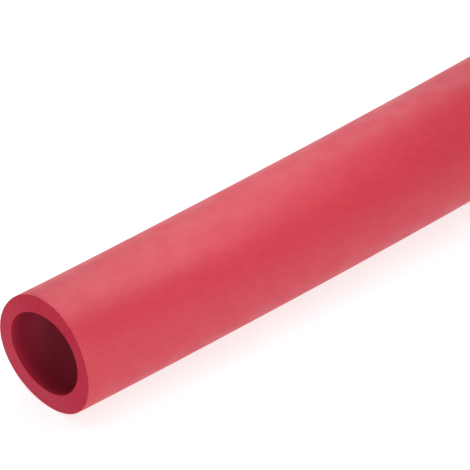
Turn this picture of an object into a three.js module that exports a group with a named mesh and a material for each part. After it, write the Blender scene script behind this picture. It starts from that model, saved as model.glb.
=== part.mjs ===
// Pipe insulation lagging: one extruded tube of closed-cell elastomeric foam, cut to length.
// It is unslit, so it slides over the pipe's end, and it lies on its side with the slight bow
// that such a soft tube keeps. Both ends are cut square to the chord of the bow.
// Millimetres, +Z up. +X runs along the chord, and the tube bows in the XY plane, with its
// hollow side towards +Y. The origin is on the floor under the middle of the tube's box.

import * as THREE from "three";

// Driving dimensions
const boreDiameter = 49; // slips over a pipe of 48.3 mm
const wallThickness = 9;
const tubeLength = 1000; // between the cut ends
const bowRadius = 5200; // of the centre line
const lipRadius = 0.6; // rounding of the four cut edges

// Fineness of the mesh
const facetsAround = 72;
const bowSteps = 16;
const lipSteps = 3;

const boreRadius = boreDiameter / 2;
const outerRadius = boreRadius + wallThickness;

// The wall's half section as points of (radius, distance along the axis), closed on itself.
function wallSection() {
  const outerLip = outerRadius - lipRadius;
  const boreLip = boreRadius + lipRadius;
  const lipPlace = tubeLength / 2 - lipRadius;
  const points = [
    ...roundedLip(outerLip, -lipPlace, -90),
    ...straightRun(outerRadius, -lipPlace, lipPlace),
    ...roundedLip(outerLip, lipPlace, 0),
    ...roundedLip(boreLip, lipPlace, 90),
    ...straightRun(boreRadius, lipPlace, -lipPlace),
    ...roundedLip(boreLip, -lipPlace, 180),
  ];
  points.push(points[0].clone());
  return points;
}

// A quarter turn around one cut edge, counted from the direction of startAngle.
function roundedLip(radius, along, startAngle) {
  const points = [];
  for (let step = 0; step <= lipSteps; step += 1) {
    const angle = THREE.MathUtils.degToRad(startAngle + (90 * step) / lipSteps);
    points.push(
      new THREE.Vector2(
        radius + lipRadius * Math.cos(angle),
        along + lipRadius * Math.sin(angle),
      ),
    );
  }
  return points;
}

// The points between the ends of a long face, which let it follow the bow.
function straightRun(radius, from, to) {
  const points = [];
  for (let step = 1; step < bowSteps; step += 1) {
    const along = THREE.MathUtils.lerp(from, to, step / bowSteps);
    points.push(new THREE.Vector2(radius, along));
  }
  return points;
}

// The straight tube along X, with one facet level at its underside.
function straightTube() {
  const halfFacet = Math.PI / facetsAround;
  const tube = new THREE.LatheGeometry(wallSection(), facetsAround, halfFacet);
  return tube.rotateZ(-Math.PI / 2);
}

// Moves a point sideways onto the arc concentric with the bow, whose centre is on +Y. It keeps
// its x, so the cut ends stay flat and square to X, and every section across the bow is round.
function bendOntoBow(point) {
  const arcRadius = bowRadius - point.y;
  point.y = bowRadius - Math.sqrt(arcRadius ** 2 - point.x ** 2);
}

// The finished tube, resting on the floor and centred over the origin.
function insulationTube() {
  const geometry = straightTube();
  const positions = geometry.getAttribute("position");
  const point = new THREE.Vector3();
  for (let i = 0; i < positions.count; i += 1) {
    point.fromBufferAttribute(positions, i);
    bendOntoBow(point);
    positions.setXYZ(i, point.x, point.y, point.z);
  }
  geometry.computeVertexNormals();
  geometry.computeBoundingBox();

  const redFoam = new THREE.MeshStandardMaterial({
    color: 0xd24e5f,
    roughness: 0.8,
    metalness: 0,
  });
  const mesh = new THREE.Mesh(geometry, redFoam);
  mesh.name = "insulation_tube";
  const { min, max } = geometry.boundingBox;
  mesh.position.set(-(min.x + max.x) / 2, -(min.y + max.y) / 2, -min.z);
  return mesh;
}

const lagging = new THREE.Group();
lagging.add(insulationTube());

export default lagging;
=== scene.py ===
# Red foam pipe lagging: one bowed tube with a smooth extruded skin, fine-celled cut ends and a
# dark bore. Metres, +Z up, +X along the chord of the bow. The photographed end is the one at -X.
import math

import bpy
from mathutils import Matrix, Vector


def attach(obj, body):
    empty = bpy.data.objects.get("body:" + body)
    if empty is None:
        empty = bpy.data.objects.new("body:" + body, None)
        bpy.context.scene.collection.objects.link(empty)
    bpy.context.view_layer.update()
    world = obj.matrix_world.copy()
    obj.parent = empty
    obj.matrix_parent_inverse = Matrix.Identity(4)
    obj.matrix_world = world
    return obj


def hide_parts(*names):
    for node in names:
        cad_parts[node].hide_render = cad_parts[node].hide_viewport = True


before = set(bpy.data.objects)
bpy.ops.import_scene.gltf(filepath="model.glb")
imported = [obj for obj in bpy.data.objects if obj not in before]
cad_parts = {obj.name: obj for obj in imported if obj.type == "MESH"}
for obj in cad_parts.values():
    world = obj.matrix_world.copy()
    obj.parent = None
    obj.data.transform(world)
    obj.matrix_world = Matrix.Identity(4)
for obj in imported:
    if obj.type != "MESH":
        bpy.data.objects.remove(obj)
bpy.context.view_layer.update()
print("frame loaded:", list(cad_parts))


# Small helpers for building node trees
def addNode(tree, kind, settings=None, inputs=None):
    node = tree.nodes.new(kind)
    node.location = (220 * (len(tree.nodes) % 12), -260 * (len(tree.nodes) // 12))
    for name, value in (settings or {}).items():
        setattr(node, name, value)
    for name, value in (inputs or {}).items():
        feed(tree, value, node.inputs[name])
    return node


# Links a socket, or sets a plain value
def feed(tree, value, socket):
    if isinstance(value, bpy.types.NodeSocket):
        tree.links.new(value, socket)
    else:
        socket.default_value = value


def calc(tree, operation, *values):
    inputs = dict(enumerate(values))
    return addNode(tree, "ShaderNodeMath", {"operation": operation}, inputs).outputs[0]


def vectorCalc(tree, operation, *values):
    inputs = dict(enumerate(values))
    return addNode(tree, "ShaderNodeVectorMath", {"operation": operation}, inputs).outputs[0]


def splitVector(tree, vector):
    return addNode(tree, "ShaderNodeSeparateXYZ", inputs={"Vector": vector}).outputs


def joinVector(tree, x, y, z):
    return addNode(tree, "ShaderNodeCombineXYZ", inputs={"X": x, "Y": y, "Z": z}).outputs[0]


# Maps a value from one range to another with soft ends
def softStep(tree, value, low, high, toLow=0.0, toHigh=1.0):
    inputs = {"Value": value, "From Min": low, "From Max": high, "To Min": toLow, "To Max": toHigh}
    settings = {"interpolation_type": "SMOOTHSTEP"}
    return addNode(tree, "ShaderNodeMapRange", settings, inputs).outputs["Result"]


def noise(tree, vector, scale, detail=2.0, roughness=0.5):
    inputs = {"Vector": vector, "Scale": scale, "Detail": detail, "Roughness": roughness}
    return addNode(tree, "ShaderNodeTexNoise", None, inputs).outputs["Fac"]


def cells(tree, vector, scale):
    inputs = {"Vector": vector, "Scale": scale}
    return addNode(tree, "ShaderNodeTexVoronoi", {"feature": "F1"}, inputs).outputs["Distance"]


def mixColour(tree, factor, first, second):
    node = addNode(tree, "ShaderNodeMix", {"data_type": "RGBA"})
    # The colour sockets come after those for numbers and vectors
    for place, value in ((0, factor), (6, first), (7, second)):
        feed(tree, value, node.inputs[place])
    return node.outputs[2]


# A node group whose named inputs carry their default values
def newGroup(name, kind, inputs, outputs):
    group = bpy.data.node_groups.new(name, kind)
    for label, (socketType, value) in inputs.items():
        socket = group.interface.new_socket(label, in_out="INPUT", socket_type=socketType)
        if value is not None:
            socket.default_value = value
    for label, socketType in outputs.items():
        group.interface.new_socket(label, in_out="OUTPUT", socket_type=socketType)
    given = group.nodes.new("NodeGroupInput")
    result = group.nodes.new("NodeGroupOutput")
    return group, given.outputs, result.inputs


# The camera, fitted to the cut end's two ellipses and to both long outlines
cameraValues = {
    "azimuth": -44.375,  # degrees; 0 looks along +Y
    "elevation": 38.391,
    "lens": 450.6,  # millimetres, on a sensor 36 wide
    "sensor": 36.0,
    "clipEnd": 60,
    "imageSize": 470,  # pixels
    "endPixel": (44.63, 354.55),  # where the middle of the near cut end shows
    "distance": 2.966,  # along the view, to that middle
}

# The tube's own sizes, in metres. Scales are patches for each metre.
tubeValues = {
    "Bore Diameter": 0.049,
    "Wall": 0.009,
    "Length": 1.0,
    "Bow Radius": 5.2,
    "Lip Radius": 0.0006,
    "Segments Around": 360,
    "Skin Step": 0.0085,  # between rings along the skin
    "Bore Step": 0.018,
    "Cut Step": 0.0004,  # between rings across the cut face
    "Lip Segments": 4,
    "Skin Swell": 0.00012,  # slow, soft unevenness of the extruded skin
    "Swell Scale": 14.0,
    "Saw Wave": 0.00025,  # slow waviness left by the cut
    "Wave Scale": 45.0,
    "Wave Reach": 0.004,  # how far in from the cut the wave fades out
    "Cell Depth": 0.00006,  # cut-open cells on the end faces
    "Cell Scale": 1500.0,
    "Cell Margin": 0.07,  # share of the wall beside each edge that has none
    "Settled": 0.00015,  # how far its own weight flattens the underside
    # The cut relaxes the foam, so its end is a little out of round. Angles turn up from -Y.
    "Relaxed Length": 0.12,  # how far in from the cut that goes
    "Far End Turn": math.radians(140),  # the hidden end is out of round another way
    "Skin Shift": 0.0004,
    "Skin Shift Angle": math.radians(154),
    "Skin Oval": 0.00075,
    "Skin Oval Angle": math.radians(85),
    "Skin Lobe": 0.0008,
    "Skin Lobe Angle": math.radians(-40),
    "Bore Shrink": 0.0005,
    "Bore Shift": 0.0008,
    "Bore Shift Angle": math.radians(114),
    "Bore Oval": 0.00065,
    "Bore Oval Angle": math.radians(30),
    "Bore Lobe": 0.0003,
    "Bore Lobe Angle": math.radians(55),
}


# The way from the object towards a viewer or a light, from degrees
def towards(azimuth, elevation):
    turn = math.radians(azimuth)
    rise = math.radians(elevation)
    level = math.cos(rise)
    return Vector((math.sin(turn) * level, -math.cos(turn) * level, math.sin(rise)))


def makeCamera(values):
    azimuth = math.radians(values["azimuth"])
    back = towards(values["azimuth"], values["elevation"])
    right = Vector((math.cos(azimuth), math.sin(azimuth), 0))
    up = back.cross(right)
    data = bpy.data.cameras.new("photoCamera")
    data.lens = values["lens"]
    data.sensor_width = values["sensor"]
    data.clip_end = values["clipEnd"]
    # From the near end's middle back along the ray through its pixel
    middle = values["imageSize"] / 2
    perPixel = values["sensor"] / values["lens"] / values["imageSize"] * values["distance"]
    across = (values["endPixel"][0] - middle) * perPixel
    down = (values["endPixel"][1] - middle) * perPixel
    place = nearEndMiddle() - right * across + up * down + back * values["distance"]
    camera = bpy.data.objects.new("photoCamera", data)
    axes = Matrix((right, up, back)).transposed().to_4x4()
    camera.matrix_world = Matrix.Translation(place) @ axes
    bpy.context.collection.objects.link(camera)
    bpy.context.scene.camera = camera


# The middle of the cut end at -X, where the bowed axis comes out
def nearEndMiddle():
    outer = tubeValues["Bore Diameter"] / 2 + tubeValues["Wall"]
    half = tubeValues["Length"] / 2
    bow = tubeValues["Bow Radius"]
    axisRise = bow - math.sqrt(bow**2 - half**2)
    sideRise = bow - math.sqrt((bow - outer) ** 2 - half**2)
    return Vector((-half, axisRise - (sideRise - outer) / 2, outer))


makeCamera(cameraValues)
print("camera placed")


# The wall's long section, a rounded rectangle that is finer where the surface needs it
def sectionCurve(tree, given):
    rectangle = addNode(tree, "GeometryNodeCurvePrimitiveQuadrilateral", {"mode": "RECTANGLE"},
                        {"Width": given["Wall"], "Height": given["Length"]})
    rounded = addNode(tree, "GeometryNodeFilletCurve", {"mode": "POLY"},
                      {"Curve": rectangle.outputs[0], "Count": given["Lip Segments"],
                       "Radius": given["Lip Radius"], "Limit Radius": True})
    # The run from each point to the next says how many cuts it takes
    place = addNode(tree, "GeometryNodeInputPosition").outputs[0]
    following = addNode(tree, "GeometryNodeOffsetPointInCurve", None, {"Offset": 1})
    ahead = addNode(tree, "GeometryNodeFieldAtIndex", {"data_type": "FLOAT_VECTOR"},
                    {"Value": place, "Index": following.outputs["Point Index"]}).outputs[0]
    run = splitVector(tree, vectorCalc(tree, "SUBTRACT", ahead, place))
    across = calc(tree, "ABSOLUTE", run["X"])
    along = calc(tree, "ABSOLUTE", run["Y"])
    onSkin = calc(tree, "GREATER_THAN", splitVector(tree, place)["X"], 0.0)
    spare = calc(tree, "SUBTRACT", given["Skin Step"], given["Bore Step"])
    alongStep = calc(tree, "MULTIPLY_ADD", onSkin, spare, given["Bore Step"])
    cuts = calc(tree, "MAXIMUM", calc(tree, "DIVIDE", across, given["Cut Step"]),
                calc(tree, "DIVIDE", along, alongStep))
    cuts = calc(tree, "SUBTRACT", calc(tree, "FLOOR", cuts), 1.0)
    cuts = calc(tree, "MAXIMUM", cuts, 0.0)
    return addNode(tree, "GeometryNodeSubdivideCurve", None,
                   {"Curve": rounded.outputs[0], "Cuts": cuts}).outputs[0]


# The section swept around the axis, which lies along X
def straightTube(tree, given, middleRadius):
    circle = addNode(tree, "GeometryNodeCurvePrimitiveCircle", {"mode": "RADIUS"},
                     {"Resolution": given["Segments Around"], "Radius": middleRadius})
    swept = addNode(tree, "GeometryNodeCurveToMesh", None,
                    {"Curve": circle.outputs[0], "Profile Curve": sectionCurve(tree, given)})
    return addNode(tree, "GeometryNodeTransform", None,
                   {"Geometry": swept.outputs[0], "Rotation": (0, math.pi / 2, 0)}).outputs[0]


# How far a point is from the straight axis
def axisDistance(tree, y, z):
    squares = calc(tree, "ADD", calc(tree, "MULTIPLY", y, y), calc(tree, "MULTIPLY", z, z))
    return calc(tree, "SQRT", squares)


# Keeps which faces are skin, cut and bore, as 0, 1 and 2, before anything is bent
def markZones(tree, mesh, middleRadius):
    leastEndwise = 0.6  # a face counts as cut where its normal is this much along X
    normal = addNode(tree, "GeometryNodeInputNormal").outputs[0]
    endwise = calc(tree, "ABSOLUTE", splitVector(tree, normal)["X"])
    cut = calc(tree, "GREATER_THAN", endwise, leastEndwise)
    place = splitVector(tree, addNode(tree, "GeometryNodeInputPosition").outputs[0])
    inside = calc(tree, "LESS_THAN", axisDistance(tree, place["Y"], place["Z"]), middleRadius)
    bore = calc(tree, "MULTIPLY", calc(tree, "SUBTRACT", 1.0, cut), inside)
    zone = calc(tree, "MULTIPLY_ADD", bore, 2.0, cut)
    return addNode(tree, "GeometryNodeStoreNamedAttribute", {"data_type": "INT", "domain": "FACE"},
                   {"Geometry": mesh, "Name": "zone", "Value": zone}).outputs[0]


# How far the relaxed end stands out at each angle: a shift, an oval and three lobes
def outOfRound(tree, given, part, angle):
    total = 0.0
    for count, wave in enumerate(("Shift", "Oval", "Lobe"), start=1):
        turn = calc(tree, "SUBTRACT", angle, given[f"{part} {wave} Angle"])
        height = calc(tree, "COSINE", calc(tree, "MULTIPLY", turn, float(count)))
        total = calc(tree, "MULTIPLY_ADD", height, given[f"{part} {wave}"], total)
    return total


# How far a point moves off the axis: the skin's slow swell, and the shape of the relaxed end
def standOut(tree, given, place, depth, nearness):
    x, y, z = splitVector(tree, place)
    angle = calc(tree, "ARCTAN2", z, calc(tree, "MULTIPLY", y, -1.0))
    atFarEnd = calc(tree, "GREATER_THAN", x, 0.0)
    angle = calc(tree, "MULTIPLY_ADD", atFarEnd, given["Far End Turn"], angle)
    swell = calc(tree, "SUBTRACT", noise(tree, place, given["Swell Scale"]), 0.5)
    swell = calc(tree, "MULTIPLY", calc(tree, "MULTIPLY", swell, 2.0), given["Skin Swell"])
    swell = calc(tree, "MULTIPLY", swell, depth)
    skinOut = calc(tree, "MULTIPLY", outOfRound(tree, given, "Skin", angle), depth)
    boreOut = calc(tree, "SUBTRACT", outOfRound(tree, given, "Bore", angle), given["Bore Shrink"])
    boreOut = calc(tree, "MULTIPLY", boreOut, calc(tree, "SUBTRACT", 1.0, depth))
    relaxed = softStep(tree, nearness, 0.0, given["Relaxed Length"], 1.0, 0.0)
    return calc(tree, "MULTIPLY_ADD", calc(tree, "ADD", skinOut, boreOut), relaxed, swell)


# How far a point sinks in along the axis: the saw's slow wave, and a shallow pit for each cell
def cutRelief(tree, given, place, depth, nearness):
    onFace = 1e-5  # a point this near to the end is on the cut face
    beyondBore = calc(tree, "GREATER_THAN", depth, given["Cell Margin"])
    skinMargin = calc(tree, "SUBTRACT", 1.0, given["Cell Margin"])
    innerLand = calc(tree, "MULTIPLY", beyondBore, calc(tree, "LESS_THAN", depth, skinMargin))
    onCut = calc(tree, "MULTIPLY", calc(tree, "LESS_THAN", nearness, onFace), innerLand)
    atEnd = softStep(tree, nearness, 0.0, given["Wave Reach"], 1.0, 0.0)
    wave = calc(tree, "SUBTRACT", noise(tree, place, given["Wave Scale"], detail=1.0), 0.5)
    wave = calc(tree, "MULTIPLY", calc(tree, "MULTIPLY", wave, given["Saw Wave"]), atEnd)
    pit = calc(tree, "SUBTRACT", 0.5, cells(tree, place, given["Cell Scale"]))
    pit = calc(tree, "MULTIPLY", calc(tree, "MULTIPLY", pit, given["Cell Depth"]), onCut)
    return calc(tree, "ADD", wave, pit)


# The soft unevenness of a real length, on the straight tube
def unevenTube(tree, given, mesh, boreRadius):
    place = addNode(tree, "GeometryNodeInputPosition").outputs[0]
    x, y, z = splitVector(tree, place)
    halfLength = calc(tree, "MULTIPLY", given["Length"], 0.5)
    nearness = calc(tree, "SUBTRACT", halfLength, calc(tree, "ABSOLUTE", x))
    # 0 at the bore and 1 at the skin
    depth = calc(tree, "SUBTRACT", axisDistance(tree, y, z), boreRadius)
    depth = calc(tree, "DIVIDE", depth, given["Wall"])
    out = standOut(tree, given, place, depth, nearness)
    outward = vectorCalc(tree, "NORMALIZE", joinVector(tree, 0.0, y, z))
    sideways = vectorCalc(tree, "MULTIPLY", outward, joinVector(tree, 0.0, out, out))
    inward = calc(tree, "MULTIPLY", calc(tree, "SIGN", x), -1.0)
    sunk = calc(tree, "MULTIPLY", cutRelief(tree, given, place, depth, nearness), inward)
    offset = vectorCalc(tree, "ADD", sideways, joinVector(tree, sunk, 0.0, 0.0))
    return addNode(tree, "GeometryNodeSetPosition", None,
                   {"Geometry": mesh, "Offset": offset}).outputs[0]


# How far a point at y is carried sideways by the bow, at a distance x along the chord
def bowRise(tree, given, x, y):
    arc = calc(tree, "SUBTRACT", given["Bow Radius"], y)
    reach = calc(tree, "SUBTRACT", calc(tree, "MULTIPLY", arc, arc), calc(tree, "MULTIPLY", x, x))
    return calc(tree, "SUBTRACT", given["Bow Radius"], calc(tree, "SQRT", reach))


# Moves each point sideways onto its arc of the bow, and keeps its x, so the ends stay square
def bowTube(tree, given, mesh):
    x, y, z = splitVector(tree, addNode(tree, "GeometryNodeInputPosition").outputs[0])
    place = joinVector(tree, x, bowRise(tree, given, x, y), z)
    return addNode(tree, "GeometryNodeSetPosition", None,
                   {"Geometry": mesh, "Position": place}).outputs[0]


# Centres the bowed tube over the origin, as the CAD does. Its soft underside settles flat
def restOnFloor(tree, given, mesh, outerRadius):
    x, y, z = splitVector(tree, addNode(tree, "GeometryNodeInputPosition").outputs[0])
    halfLength = calc(tree, "MULTIPLY", given["Length"], 0.5)
    sideRise = bowRise(tree, given, halfLength, outerRadius)
    across = calc(tree, "MULTIPLY", calc(tree, "SUBTRACT", outerRadius, sideRise), 0.5)
    height = calc(tree, "ADD", z, calc(tree, "SUBTRACT", outerRadius, given["Settled"]))
    height = calc(tree, "MAXIMUM", height, 0.0)
    place = joinVector(tree, x, calc(tree, "ADD", y, across), height)
    return addNode(tree, "GeometryNodeSetPosition", None,
                   {"Geometry": mesh, "Position": place}).outputs[0]


# Gives each zone its material. The first one goes everywhere, and the others over it.
def paintZones(tree, given, mesh, materialNames):
    zone = addNode(tree, "GeometryNodeInputNamedAttribute", {"data_type": "INT"},
                   {"Name": "zone"}).outputs[0]
    tolerance = 0.5
    for number, name in enumerate(materialNames):
        setter = addNode(tree, "GeometryNodeSetMaterial", None,
                         {"Geometry": mesh, "Material": given[name]})
        if number > 0:
            chosen = calc(tree, "COMPARE", zone, float(number), tolerance)
            feed(tree, chosen, setter.inputs["Selection"])
        mesh = setter.outputs[0]
    return mesh


def tubeTree(materials):
    whole = ("Segments Around", "Lip Segments")
    inputs = {name: ("NodeSocketInt" if name in whole else "NodeSocketFloat", value)
              for name, value in tubeValues.items()}
    inputs.update({name: ("NodeSocketMaterial", None) for name in materials})
    tree, given, result = newGroup("foamTube", "GeometryNodeTree", inputs,
                                   {"Mesh": "NodeSocketGeometry"})
    boreRadius = calc(tree, "MULTIPLY", given["Bore Diameter"], 0.5)
    middleRadius = calc(tree, "MULTIPLY_ADD", given["Wall"], 0.5, boreRadius)
    outerRadius = calc(tree, "ADD", boreRadius, given["Wall"])
    mesh = markZones(tree, straightTube(tree, given, middleRadius), middleRadius)
    mesh = unevenTube(tree, given, mesh, boreRadius)
    mesh = restOnFloor(tree, given, bowTube(tree, given, mesh), outerRadius)
    mesh = addNode(tree, "GeometryNodeSetShadeSmooth", None, {"Geometry": mesh}).outputs[0]
    mesh = addNode(tree, "GeometryNodeRealizeInstances", None, {"Geometry": mesh}).outputs[0]
    feed(tree, paintZones(tree, given, mesh, list(materials)), result["Mesh"])
    return tree


# The foam's patterns. A scale is patches for each metre, and a range is what part of it counts.
patternValues = {
    "drift": {"scale": 28.0, "detail": 4.0, "roughness": 0.55, "range": (0.3, 0.7)},
    "mottle": {"scale": 330.0, "detail": 2.0, "roughness": 0.6, "range": (0.35, 0.65)},
    "speckle": {"scale": 1300.0, "detail": 2.0, "roughness": 0.6, "range": (0.35, 0.65)},
    "gloss": {"scale": 90.0, "detail": 3.0, "roughness": 0.5, "range": (0.3, 0.7)},
    "ripple": {"scale": 260.0, "detail": 3.0, "roughness": 0.5},
}


def patternNoise(tree, name, place):
    values = patternValues[name]
    return noise(tree, place, values["scale"], values["detail"], values["roughness"])


def patches(tree, name, place, toLow=0.0, toHigh=1.0):
    low, high = patternValues[name]["range"]
    return softStep(tree, patternNoise(tree, name, place), low, high, toLow, toHigh)


# Shared effect: slow colour drift, a mottle of a few millimetres and the speckle of the cells
def foamColourGroup():
    inputs = {
        "Colour": ("NodeSocketColor", (0.5, 0.05, 0.07, 1)),
        "Deep Colour": ("NodeSocketColor", (0.4, 0.03, 0.05, 1)),
        "Drift": ("NodeSocketFloat", 0.3),
        "Mottle": ("NodeSocketFloat", 0.3),
        "Speckle": ("NodeSocketFloat", 0.3),
    }
    group, given, result = newGroup("foamColour", "ShaderNodeTree", inputs,
                                    {"Colour": "NodeSocketColor"})
    place = addNode(group, "ShaderNodeTexCoord").outputs["Object"]
    amount = 0.0
    for name in ("Drift", "Mottle", "Speckle"):
        patch = patches(group, name.lower(), place)
        amount = calc(group, "MULTIPLY_ADD", patch, given[name], amount)
    feed(group, mixColour(group, amount, given["Colour"], given["Deep Colour"]), result["Colour"])
    return group


# Shared effect: a fine grain of closed cells under a skin, as a height in metres
def foamGrainGroup():
    inputs = {
        "Cell Size": ("NodeSocketFloat", 0.0006),
        "Cell Height": ("NodeSocketFloat", 0.00002),
        "Ripple Height": ("NodeSocketFloat", 0.00003),
    }
    group, given, result = newGroup("foamGrain", "ShaderNodeTree", inputs,
                                    {"Height": "NodeSocketFloat"})
    place = addNode(group, "ShaderNodeTexCoord").outputs["Object"]
    fine = cells(group, place, calc(group, "DIVIDE", 1.0, given["Cell Size"]))
    fine = calc(group, "MULTIPLY", fine, given["Cell Height"])
    ripple = patternNoise(group, "ripple", place)
    ripple = calc(group, "MULTIPLY", ripple, given["Ripple Height"])
    feed(group, calc(group, "ADD", fine, ripple), result["Height"])
    return group


# How each finish differs. Sizes and ranges are in metres.
finishValues = {
    "Skin": {
        "colour": (0.481, 0.012, 0.034, 1),
        "deepColour": (0.440, 0.005, 0.027, 1),
        "drift": 0.3, "mottle": 0.5, "speckle": 0.2,
        "cellSize": 0.0007, "cellHeight": 0.00002, "rippleHeight": 0.00007,
        "roughness": (0.45, 0.55), "specular": 0.65,
    },
    "Cut": {
        "colour": (0.500, 0.028, 0.058, 1),
        "deepColour": (0.370, 0.007, 0.028, 1),
        "paintedLitSideColour": (0.50, 0.056, 0.094, 1),  # painted light, paler on the cut's lit side
        "paintedLitSideAmount": 0.5,
        "paintedLitSideRange": (-0.055, 0.02),  # of y less z, where the painted light sets in and is full
        "drift": 0.2, "mottle": 0.2, "speckle": 0.6,
        "cellSize": 0.0005, "cellHeight": 0.00012, "rippleHeight": 0.00006,
        "roughness": (0.82, 0.95), "specular": 0.2,
    },
    "Bore": {
        "colour": (0.235, 0.014, 0.030, 1),
        "deepColour": (0.205, 0.011, 0.025, 1),
        "paintedRimLightColour": (0.30, 0.015, 0.033, 1),  # painted light: the bore made lighter and redder at its mouth
        "paintedRimLightReach": 0.006,
        "paintedDepthLightColour": (0.54, 0.074, 0.128, 1),  # painted light: the bore made lighter and paler deeper in
        "paintedDepthLightRange": (0.005, 0.033),
        "drift": 0.5, "mottle": 0.3, "speckle": 0.2,
        "cellSize": 0.0008, "cellHeight": 0.00004, "rippleHeight": 0.00006,
        "roughness": (0.65, 0.8), "specular": 0.02,
    },
}


# Painted light on the bore, counted from the nearer cut: lighter and redder at its rim, and
# lighter and paler deeper in, where shade falls
def borePaintedLight(tree, values, colour, place):
    reach = calc(tree, "ABSOLUTE", splitVector(tree, place)["X"])
    depth = calc(tree, "SUBTRACT", tubeValues["Length"] / 2, reach)
    paintedDepthLight = softStep(tree, depth, *values["paintedDepthLightRange"])
    colour = mixColour(tree, paintedDepthLight, colour, values["paintedDepthLightColour"])
    paintedRimLight = softStep(tree, depth, 0.0, values["paintedRimLightReach"], 1.0, 0.0)
    return mixColour(tree, paintedRimLight, colour, values["paintedRimLightColour"])


# Painted light: the cut is paler towards its lower, hollow side, where the light falls on it
def cutPaintedLitSide(tree, values, colour, place):
    parts = splitVector(tree, place)
    lower = calc(tree, "SUBTRACT", parts["Y"], parts["Z"])
    paintedLitSide = softStep(tree, lower, *values["paintedLitSideRange"])
    paintedLitSide = calc(tree, "MULTIPLY", paintedLitSide, values["paintedLitSideAmount"])
    return mixColour(tree, paintedLitSide, colour, values["paintedLitSideColour"])


def principledShader(material):
    material.use_nodes = True
    return next(node for node in material.node_tree.nodes if node.type == "BSDF_PRINCIPLED")


def foamMaterial(name, values, colourGroup, grainGroup):
    material = bpy.data.materials.new(f"foam{name}")
    shader = principledShader(material)
    tree = material.node_tree
    place = addNode(tree, "ShaderNodeTexCoord").outputs["Object"]
    colour = addNode(tree, "ShaderNodeGroup", {"node_tree": colourGroup}, {
        "Colour": values["colour"], "Deep Colour": values["deepColour"],
        "Drift": values["drift"], "Mottle": values["mottle"],
        "Speckle": values["speckle"]}).outputs["Colour"]
    # Painted light: the bore is lightened at its rim and deeper in
    if "paintedRimLightColour" in values:
        colour = borePaintedLight(tree, values, colour, place)
    # Painted light: the cut is paler on its lit side
    if "paintedLitSideColour" in values:
        colour = cutPaintedLitSide(tree, values, colour, place)
    feed(tree, colour, shader.inputs["Base Color"])
    gloss = patches(tree, "gloss", place, *values["roughness"])
    feed(tree, gloss, shader.inputs["Roughness"])
    grain = addNode(tree, "ShaderNodeGroup", {"node_tree": grainGroup}, {
        "Cell Size": values["cellSize"], "Cell Height": values["cellHeight"],
        "Ripple Height": values["rippleHeight"]}).outputs["Height"]
    bump = addNode(tree, "ShaderNodeBump", None, {"Height": grain, "Distance": 1.0})
    feed(tree, bump.outputs["Normal"], shader.inputs["Normal"])
    shader.inputs["Specular IOR Level"].default_value = values["specular"]
    return material


def makeTube():
    groups = foamColourGroup(), foamGrainGroup()
    materials = {name: foamMaterial(name, values, *groups)
                 for name, values in finishValues.items()}
    print("finishes made:", list(materials))
    tree = tubeTree(materials)
    holder = bpy.data.objects.new("foamTubeBuild", bpy.data.meshes.new("foamTubeBuild"))
    bpy.context.collection.objects.link(holder)
    modifier = holder.modifiers.new("foamTube", "NODES")
    modifier.node_group = tree
    wanted = {**tubeValues, **materials}
    for item in tree.interface.items_tree:
        if item.in_out == "INPUT":
            modifier[item.identifier] = wanted[item.name]
    built = holder.evaluated_get(bpy.context.evaluated_depsgraph_get())
    mesh = bpy.data.meshes.new_from_object(built)
    mesh.name = "foam_tube"
    bpy.data.objects.remove(holder)
    tube = bpy.data.objects.new("foam_tube", mesh)
    bpy.context.collection.objects.link(tube)
    return tube


tube = makeTube()
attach(tube, "root")
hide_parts("insulation_tube")
print("tube made:", len(tube.data.polygons), "faces,", [m.name for m in tube.data.materials])


# The studio: a plain pale floor and soft lights
studioValues = {
    "floorSize": 30.0,
    "floorColour": (0.4, 0.4, 0.4, 1),
    "floorRoughness": 0.9,
    "glowColour": (1, 1, 1, 1),
    "floorGlow": 0.71,  # a lit table, which keeps the shadow pale
    "worldColour": (1, 1, 1, 1),
    "worldStrength": 0.67,
    "lightAim": (-0.48, 0, 0.03),
}

# Soft boxes: where each stands as azimuth, elevation and distance from the tube, then its size
lightValues = {
    "overhead": {"azimuth": 170, "elevation": 60, "distance": 1.1, "size": 1.1, "power": 2.45},
    "front": {"azimuth": -15, "elevation": 12, "distance": 0.9, "size": 0.42, "power": 3.2},
    "back": {"azimuth": 135, "elevation": 30, "distance": 1.1, "size": 0.7, "power": 1.9},
    "nearEnd": {"azimuth": 85, "elevation": 66, "distance": 0.3, "size": 0.25, "power": 0.41},
}


def makeFloor(values):
    half = values["floorSize"] / 2
    mesh = bpy.data.meshes.new("studioFloor")
    corners = [(-half, -half, 0), (half, -half, 0), (half, half, 0), (-half, half, 0)]
    mesh.from_pydata(corners, [], [(0, 1, 2, 3)])
    floor = bpy.data.objects.new("studioFloor", mesh)
    bpy.context.collection.objects.link(floor)
    material = bpy.data.materials.new("studioFloor")
    shader = principledShader(material)
    shader.inputs["Base Color"].default_value = values["floorColour"]
    shader.inputs["Roughness"].default_value = values["floorRoughness"]
    shader.inputs["Emission Color"].default_value = values["glowColour"]
    shader.inputs["Emission Strength"].default_value = values["floorGlow"]
    mesh.materials.append(material)


def makeWorld(values):
    world = bpy.data.worlds.new("studioWorld")
    world.use_nodes = True
    background = next(node for node in world.node_tree.nodes if node.type == "BACKGROUND")
    background.inputs["Color"].default_value = values["worldColour"]
    background.inputs["Strength"].default_value = values["worldStrength"]
    bpy.context.scene.world = world


def makeLight(name, values, target):
    away = towards(values["azimuth"], values["elevation"])
    data = bpy.data.lights.new(name, "AREA")
    data.shape = "SQUARE"
    data.size = values["size"]
    data.energy = values["power"]
    light = bpy.data.objects.new(name, data)
    light.location = target + away * values["distance"]
    light.rotation_euler = away.to_track_quat("Z", "Y").to_euler()
    light.visible_camera = False
    bpy.context.collection.objects.link(light)


makeFloor(studioValues)
makeWorld(studioValues)
for name, values in lightValues.items():
    makeLight(name, values, Vector(studioValues["lightAim"]))
bpy.context.scene.view_settings.view_transform = "Standard"
print("studio made:", len(lightValues), "lights")
